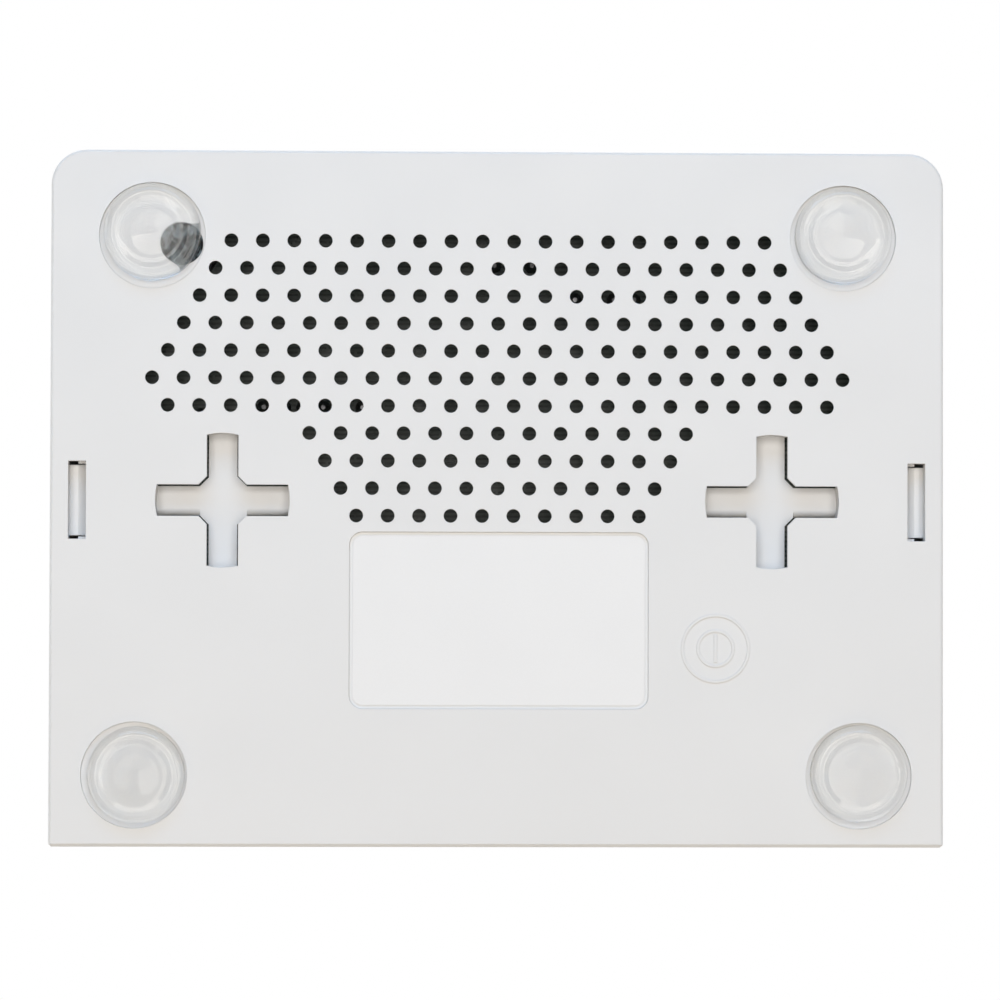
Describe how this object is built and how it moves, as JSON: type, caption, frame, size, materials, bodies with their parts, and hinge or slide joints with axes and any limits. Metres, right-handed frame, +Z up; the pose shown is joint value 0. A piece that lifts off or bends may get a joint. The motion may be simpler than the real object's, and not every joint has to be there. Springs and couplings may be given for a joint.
{
  "type": "wireless router",
  "caption": "Low rectangular home network router with a vented base, cross-shaped wall-mounting slots, clear bumper feet and a row of cable sockets along one side.",
  "frame": {"origin": "middle of the footprint, on the surface that the feet stand on", "axes": "+Z up; -Y faces the side with the sockets and buttons; +Y faces the side with the rounded corners and the indicators; +X along the width"},
  "size_m": [0.1138, 0.0886, 0.028],
  "materials": {
    "case_white": "fine moulded texture",
    "button_grey": "satin",
    "clear_bumper": "clear, glossy",
    "clear_adhesive": "satin",
    "seal_foil": "matt, mottled",
    "label_stock": "coated, blank",
    "switch_black": "matt",
    "socket_blue": "satin",
    "socket_yellow": "satin",
    "gold_plate": "plated",
    "steel": "zinc plated",
    "tin_plate": "satin",
    "clear_pipe": "clear",
    "led_body": "gloss",
    "board_green": "solder mask",
    "chip_black": "moulded",
    "thermal_rubber": "matt",
    "sink_aluminium": "extruded",
    "can_sleeve": "shrunk sleeve",
    "ferrite": "matt",
    "chip_ceramic": "satin",
    "solder": "bright",
    "cable_jacket": "satin"
  },
  "bodies": {
    "case": {"bottom_case": "case_white", "top_cover": "case_white", "port_panel": "case_white", "case_screw": "steel", "foot_port_left": "clear_bumper", "foot_port_right": "clear_bumper", "foot_led_left": "clear_bumper", "foot_led_right": "clear_bumper", "foot_adhesive": "clear_adhesive", "tamper_seal": "seal_foil", "rating_label": "label_stock", "power_switch_body": "switch_black", "wps_switch_body": "tin_plate", "reset_switch_body": "tin_plate", "wan_jack": "socket_blue", "lan_jack": "socket_yellow", "jack_contacts_wan": "gold_plate", "jack_contacts_lan1": "gold_plate", "jack_contacts_lan2": "gold_plate", "jack_contacts_lan3": "gold_plate", "jack_contacts_lan4": "gold_plate", "dc_jack_body": "switch_black", "dc_jack_pin": "tin_plate", "dc_jack_spring": "tin_plate", "light_pipe": "clear_pipe", "indicator_leds": "led_body", "main_board": "board_green", "board_screws": "steel", "processor": "chip_black", "thermal_pad": "thermal_rubber", "heat_sink": "sink_aluminium", "memory_chip": "chip_black", "flash_chip": "chip_black", "switch_chip": "chip_black", "radio_chip": "chip_black", "radio_shield_frame": "tin_plate", "radio_shield_lid": "tin_plate", "lan_transformers": "chip_black", "bulk_capacitors": "can_sleeve", "power_inductors": "ferrite", "power_chips": "chip_black", "crystals": "tin_plate", "chip_components": "chip_ceramic", "solder_joints": "solder", "antenna_left": "board_green", "antenna_right": "board_green", "antenna_cable_left": "cable_jacket", "antenna_cable_right": "cable_jacket", "antenna_plugs": "gold_plate"},
    "power_button": {"power_button": "button_grey", "power_switch_plunger": "switch_black"},
    "wps_button": {"wps_button": "button_grey", "wps_switch_plunger": "switch_black"},
    "reset_plunger": {"reset_switch_plunger": "switch_black"}
  },
  "joints": [
    {"name": "power_button_travel", "type": "slide", "parent": "case", "child": "power_button", "axis": [0, 1, 0], "range_m": [0, 0.0016], "stiffness_N_per_m": 1200},
    {"name": "wps_button_travel", "type": "slide", "parent": "case", "child": "wps_button", "axis": [0, 1, 0], "range_m": [0, 0.0004], "stiffness_N_per_m": 2500},
    {"name": "reset_plunger_travel", "type": "slide", "parent": "case", "child": "reset_plunger", "axis": [0, 1, 0], "range_m": [0, 0.0003], "stiffness_N_per_m": 3000}
  ]
}
